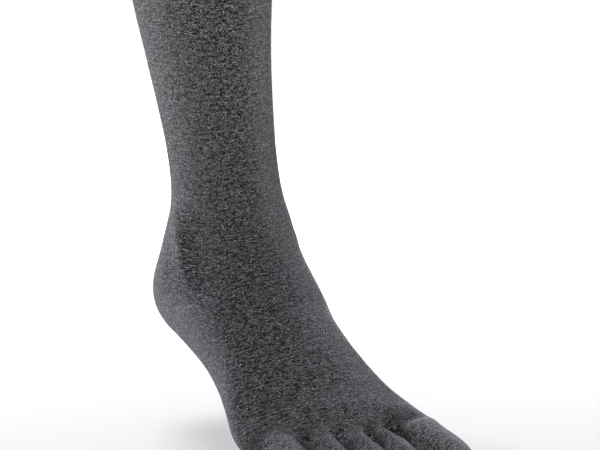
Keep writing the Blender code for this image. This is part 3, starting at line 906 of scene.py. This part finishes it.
def knit_material(name):
    """A knit finish from the settings in the sidebar: heather yarn and jersey loops, with painted shade
    between the strands and towards the foot, and a soft sheen.
    """
    settings = bpy.context.scene.sock_knit
    material = bpy.data.materials.new(name)
    material.use_nodes = True
    tree = material.node_tree
    shader = tree.nodes["Principled BSDF"]
    shader.location = (1900.0, 0.0)
    tree.nodes["Material Output"].location = (2200.0, 0.0)
    shader.inputs["Roughness"].default_value = settings.roughness
    shader.inputs["Specular IOR Level"].default_value = 0.25
    shader.inputs["Sheen Weight"].default_value = settings.sheen
    shader.inputs["Sheen Roughness"].default_value = 0.30
    shader.inputs["Sheen Tint"].default_value = (0.86, 0.88, 0.95, 1.0)

    stitch = put(tree, "ShaderNodeUVMap", 0, 0, uv_map=STITCH_MAP).outputs[0]
    heather = {
        "Stitch": stitch,
        "Place": put(tree, "ShaderNodeTexCoord", 0, 2).outputs["Object"],
        "Foot Shade": tuple(settings.painted_foot_shade),
        "Dark": tuple(settings.dark),
        "Middle": tuple(settings.middle),
        "Pale": tuple(settings.pale),
        "Fleck Share": settings.fleck_share,
        "Band Strength": settings.band_strength,
    }
    group = group_once("Heather yarn", heather_yarn_group)
    yarn = put(tree, "ShaderNodeGroup", 2, 0, heather, node_tree=group).outputs
    group = group_once("Jersey loops", jersey_loops_group)
    loops = put(tree, "ShaderNodeGroup", 2, 2, {"Stitch": stitch}, node_tree=group).outputs

    # Painted shade between the knit's strands: the loops' gap mask darkens the yarn towards a near-black
    # grey.
    gap = math_node(tree, 4, 1, "MULTIPLY", loops["Gap"], settings.painted_gap_shade)
    shaded = mix_node(tree, 5, 0, "MULTIPLY", gap, yarn["Color"], (0.12, 0.12, 0.13, 1.0))
    tree.links.new(shaded, shader.inputs["Base Color"])
    height = math_node(tree, 5, 3, "MULTIPLY_ADD", yarn["Fleck"], 0.35, loops["Height"])
    bump = {"Strength": settings.bump, "Distance": settings.loop_relief, "Height": height}
    tree.links.new(put(tree, "ShaderNodeBump", 7, 3, bump).outputs[0], shader.inputs["Normal"])
    return material


def paint_groove_shade(material):
    """Paints shade into a ribbed finish, darker in the grooves between its ribs."""
    tone = bpy.context.scene.sock_knit.painted_groove_shade
    tree = material.node_tree
    base = tree.nodes["Principled BSDF"].inputs["Base Color"]
    plain = base.links[0].from_socket
    stitch = put(tree, "ShaderNodeUVMap", 5, 5, uv_map=STITCH_MAP).outputs[0]
    group = group_once("Rib grooves", groove_shade_mask_group)
    grooves = put(tree, "ShaderNodeGroup", 6, 5, {"Stitch": stitch, "Sharpness": 1.6}, node_tree=group)
    # Painted shade: the grooves between the ribs are multiplied darker.
    ribbed = mix_node(tree, 8, 0, "MULTIPLY", grooves.outputs["Groove"], plain, (tone, tone, tone, 1.0))
    tree.links.new(ribbed, base)


class SockKnit(bpy.types.PropertyGroup):
    """Yarn colours, painted shade and the relief of the knit."""

    dark: bpy.props.FloatVectorProperty(
        name="Dark Yarn",
        description="Colour of the darkest fibres",
        subtype="COLOR",
        size=4,
        min=0.0,
        max=1.0,
        default=(0.004, 0.004, 0.005, 1.0),
    )
    middle: bpy.props.FloatVectorProperty(
        name="Middle Yarn",
        description="Colour of most of the fibres",
        subtype="COLOR",
        size=4,
        min=0.0,
        max=1.0,
        default=(0.172, 0.170, 0.167, 1.0),
    )
    pale: bpy.props.FloatVectorProperty(
        name="Pale Yarn",
        description="Colour of the pale flecks",
        subtype="COLOR",
        size=4,
        min=0.0,
        max=1.0,
        default=(0.62, 0.62, 0.64, 1.0),
    )
    # Painted shade that darkens the foot's yarn below the leg.
    painted_foot_shade: bpy.props.FloatVectorProperty(
        name="Foot Shade",
        description="Tone of the foot's yarn beside the leg's",
        subtype="COLOR",
        size=4,
        min=0.0,
        max=1.0,
        default=(0.71, 0.70, 0.76, 1.0),
    )
    fleck_share: bpy.props.FloatProperty(
        name="Fleck Share",
        description="How much of the yarn is pale",
        default=0.37,
        min=0.0,
        max=1.0,
    )
    band_strength: bpy.props.FloatProperty(
        name="Band Strength",
        description="How uneven the courses are in tone",
        default=0.34,
        min=0.0,
        max=1.0,
    )
    # Painted shade between the knit's strands.
    painted_gap_shade: bpy.props.FloatProperty(
        name="Painted Gap Shade",
        description="How dark the knit is between its strands",
        default=0.75,
        min=0.0,
        max=1.0,
    )
    # Painted shade in the grooves between the cuff's ribs.
    painted_groove_shade: bpy.props.FloatProperty(
        name="Painted Groove Shade",
        description="Tone of the grooves between the cuff's ribs",
        default=0.3,
        min=0.0,
        max=1.0,
    )
    loop_relief: bpy.props.FloatProperty(
        name="Loop Relief",
        description="Height of the yarn loops",
        default=0.0006,
        min=0.0,
        soft_max=0.002,
        subtype="DISTANCE",
        unit="LENGTH",
    )
    bump: bpy.props.FloatProperty(
        name="Bump",
        description="Strength of the loops in the light",
        default=0.8,
        min=0.0,
        max=1.0,
    )
    roughness: bpy.props.FloatProperty(
        name="Roughness",
        description="Roughness of the yarn",
        default=0.9,
        min=0.0,
        max=1.0,
        subtype="FACTOR",
    )
    sheen: bpy.props.FloatProperty(
        name="Sheen",
        description="Pale bloom of the fibres at a glance",
        default=0.36,
        min=0.0,
        max=1.0,
    )


class SockStudio(bpy.types.PropertyGroup):
    """Light and floor of the studio."""

    surround: bpy.props.FloatProperty(
        name="Surround",
        description="Strength of the even white light",
        default=0.60,
        min=0.0,
    )
    left_rim: bpy.props.FloatProperty(
        name="Left Rim",
        description="Light behind the heel",
        default=36.0,
        min=0.0,
        subtype="POWER",
        unit="POWER",
    )
    right_rim: bpy.props.FloatProperty(
        name="Right Rim",
        description="Light behind the big toe",
        default=24.0,
        min=0.0,
        subtype="POWER",
        unit="POWER",
    )
    front_fill: bpy.props.FloatProperty(
        name="Front Fill",
        description="Soft light beside the camera",
        default=11.0,
        min=0.0,
        subtype="POWER",
        unit="POWER",
    )
    high_back: bpy.props.FloatProperty(
        name="High Back",
        description="Soft light behind and above",
        default=28.0,
        min=0.0,
        subtype="POWER",
        unit="POWER",
    )
    near_glow: bpy.props.FloatProperty(
        name="Near Glow",
        description="Glow of the floor beside the sock, seen by the camera only",
        default=0.13,
        min=0.0,
    )
    floor_colour: bpy.props.FloatVectorProperty(
        name="Floor Colour",
        description="Colour of the pale floor",
        subtype="COLOR",
        size=4,
        min=0.0,
        max=1.0,
        default=(0.33, 0.33, 0.33, 1.0),
    )


class SOCK_OT_knit_leg(bpy.types.Operator):
    """Knits the leg, from under the cuff to the ankle"""

    bl_idname = "sock.knit_leg"
    bl_label = "Knit Leg"

    def execute(self, context):
        knit_piece("leg", knit_material("leg heather jersey"))
        return {"FINISHED"}


class SOCK_OT_knit_heel(bpy.types.Operator):
    """Knits the heel pocket"""

    bl_idname = "sock.knit_heel"
    bl_label = "Knit Heel"

    def execute(self, context):
        knit_piece("heel", knit_material("heel heather jersey"))
        return {"FINISHED"}


class SOCK_OT_knit_foot(bpy.types.Operator):
    """Knits the instep, the sole and the ball of the foot"""

    bl_idname = "sock.knit_foot"
    bl_label = "Knit Foot"

    def execute(self, context):
        knit_piece("foot", knit_material("foot heather jersey"))
        return {"FINISHED"}


class SOCK_OT_knit_toes(bpy.types.Operator):
    """Knits the five toe sleeves"""

    bl_idname = "sock.knit_toes"
    bl_label = "Knit Toe Sleeves"

    def execute(self, context):
        material = knit_material("toe heather jersey")
        for name in TOE_SLEEVES:
            knit_piece(name, material)
        return {"FINISHED"}


class SOCK_OT_rib_cuff(bpy.types.Operator):
    """Knits the ribbed double cuff at the leg opening"""

    bl_idname = "sock.rib_cuff"
    bl_label = "Rib Cuff"

    def execute(self, context):
        material = knit_material("cuff heather rib")
        paint_groove_shade(material)
        cuff_piece(material)
        return {"FINISHED"}


def turned_to(place, aim):
    """The rotation of a lamp or camera at a place that looks at a point."""
    return (Vector(aim) - Vector(place)).to_track_quat("-Z", "Y").to_euler()


def floor_glow(tree, shader, near):
    """Keeps the floor as pale far off as it is under the lights, by a glow that grows with the distance."""
    place = put(tree, "ShaderNodeNewGeometry", -5, 1).outputs["Position"]
    length = put(tree, "ShaderNodeVectorMath", -4, 1, {0: place}, operation="LENGTH").outputs["Value"]
    reach = {
        "Value": length,
        "From Min": NEAR_GLOW_REACH,
        "From Max": FAR_GLOW_REACH,
        "To Min": near,
        "To Max": FAR_GLOW,
    }
    spread = put(tree, "ShaderNodeMapRange", -3, 1, reach).outputs[0]
    seen = put(tree, "ShaderNodeLightPath", -3, 3).outputs["Is Camera Ray"]
    glow = math_node(tree, -2, 1, "MULTIPLY", spread, seen)
    tree.links.new(glow, shader.inputs["Emission Strength"])


def lay_floor(studio):
    """A pale floor that reaches far past the camera's view."""
    mesh = bpy.data.meshes.new("floor")
    bm = bmesh.new()
    bmesh.ops.create_circle(bm, cap_ends=True, radius=FLOOR_RADIUS, segments=96)
    bm.to_mesh(mesh)
    bm.free()
    floor = bpy.data.objects.new("floor", mesh)
    floor.location = (0.0, 0.0, CAD_BOX[0][2])
    bpy.context.scene.collection.objects.link(floor)
    material = bpy.data.materials.new("pale studio floor")
    material.use_nodes = True
    shader = material.node_tree.nodes["Principled BSDF"]
    shader.inputs["Base Color"].default_value = tuple(studio.floor_colour)
    shader.inputs["Roughness"].default_value = 0.9
    shader.inputs["Specular IOR Level"].default_value = 0.1
    shader.inputs["Emission Color"].default_value = (*WHITE, 1.0)
    floor_glow(material.node_tree, shader, studio.near_glow)
    mesh.materials.append(material)


def light_studio(studio):
    """An even white surround and four soft square lights."""
    scene = bpy.context.scene
    world = bpy.data.worlds.new("white surround")
    world.use_nodes = True
    background = world.node_tree.nodes["Background"]
    background.inputs["Color"].default_value = (*WHITE, 1.0)
    background.inputs["Strength"].default_value = studio.surround
    scene.world = world
    for name, strength, place, size, colour in LIGHTS:
        data = bpy.data.lights.new(name, "AREA")
        data.shape = "RECTANGLE"
        data.size, data.size_y = size
        data.energy = getattr(studio, strength)
        data.color = colour
        lamp = bpy.data.objects.new(name, data)
        lamp.location = place
        lamp.rotation_euler = turned_to(place, LIGHT_AIM)
        scene.collection.objects.link(lamp)


def set_camera():
    """The camera at the photograph's angle."""
    scene = bpy.context.scene
    data = bpy.data.cameras.new("photograph camera")
    data.lens, data.sensor_width = LENS, SENSOR
    camera = bpy.data.objects.new("photograph camera", data)
    camera.location = EYE
    camera.rotation_euler = turned_to(EYE, AIM)
    scene.collection.objects.link(camera)
    scene.camera = camera
    scene.view_settings.view_transform = "Standard"


class SOCK_OT_set_studio(bpy.types.Operator):
    """Lays the pale floor and sets the soft lights and the camera"""

    bl_idname = "sock.set_studio"
    bl_label = "Set Studio"

    def execute(self, context):
        studio = context.scene.sock_studio
        lay_floor(studio)
        light_studio(studio)
        set_camera()
        return {"FINISHED"}


class SOCK_PT_sidebar(bpy.types.Panel):
    """Lists the steps that dress the sock"""

    bl_idname = "SOCK_PT_sidebar"
    bl_label = "Toe Crew Sock"
    bl_space_type = "VIEW_3D"
    bl_region_type = "UI"
    bl_category = "Sock"

    def draw(self, context):
        for step in STEPS:
            self.layout.operator(step.bl_idname)
        for settings in (context.scene.sock_knit, context.scene.sock_studio):
            for name in settings.__annotations__:
                self.layout.prop(settings, name)


STEPS = (
    SOCK_OT_knit_leg,
    SOCK_OT_knit_heel,
    SOCK_OT_knit_foot,
    SOCK_OT_knit_toes,
    SOCK_OT_rib_cuff,
    SOCK_OT_set_studio,
)
CLASSES = (SockKnit, SockStudio, *STEPS, SOCK_PT_sidebar)


def register():
    for part in CLASSES:
        bpy.utils.register_class(part)
    bpy.types.Scene.sock_knit = bpy.props.PointerProperty(type=SockKnit)
    bpy.types.Scene.sock_studio = bpy.props.PointerProperty(type=SockStudio)


def unregister():
    del bpy.types.Scene.sock_studio
    del bpy.types.Scene.sock_knit
    for part in reversed(CLASSES):
        bpy.utils.unregister_class(part)


def main():
    register()
    bpy.ops.sock.knit_leg()
    bpy.ops.sock.knit_heel()
    bpy.ops.sock.knit_foot()
    bpy.ops.sock.knit_toes()
    bpy.ops.sock.rib_cuff()
    bpy.ops.sock.set_studio()


if __name__ == "__main__":
    main()
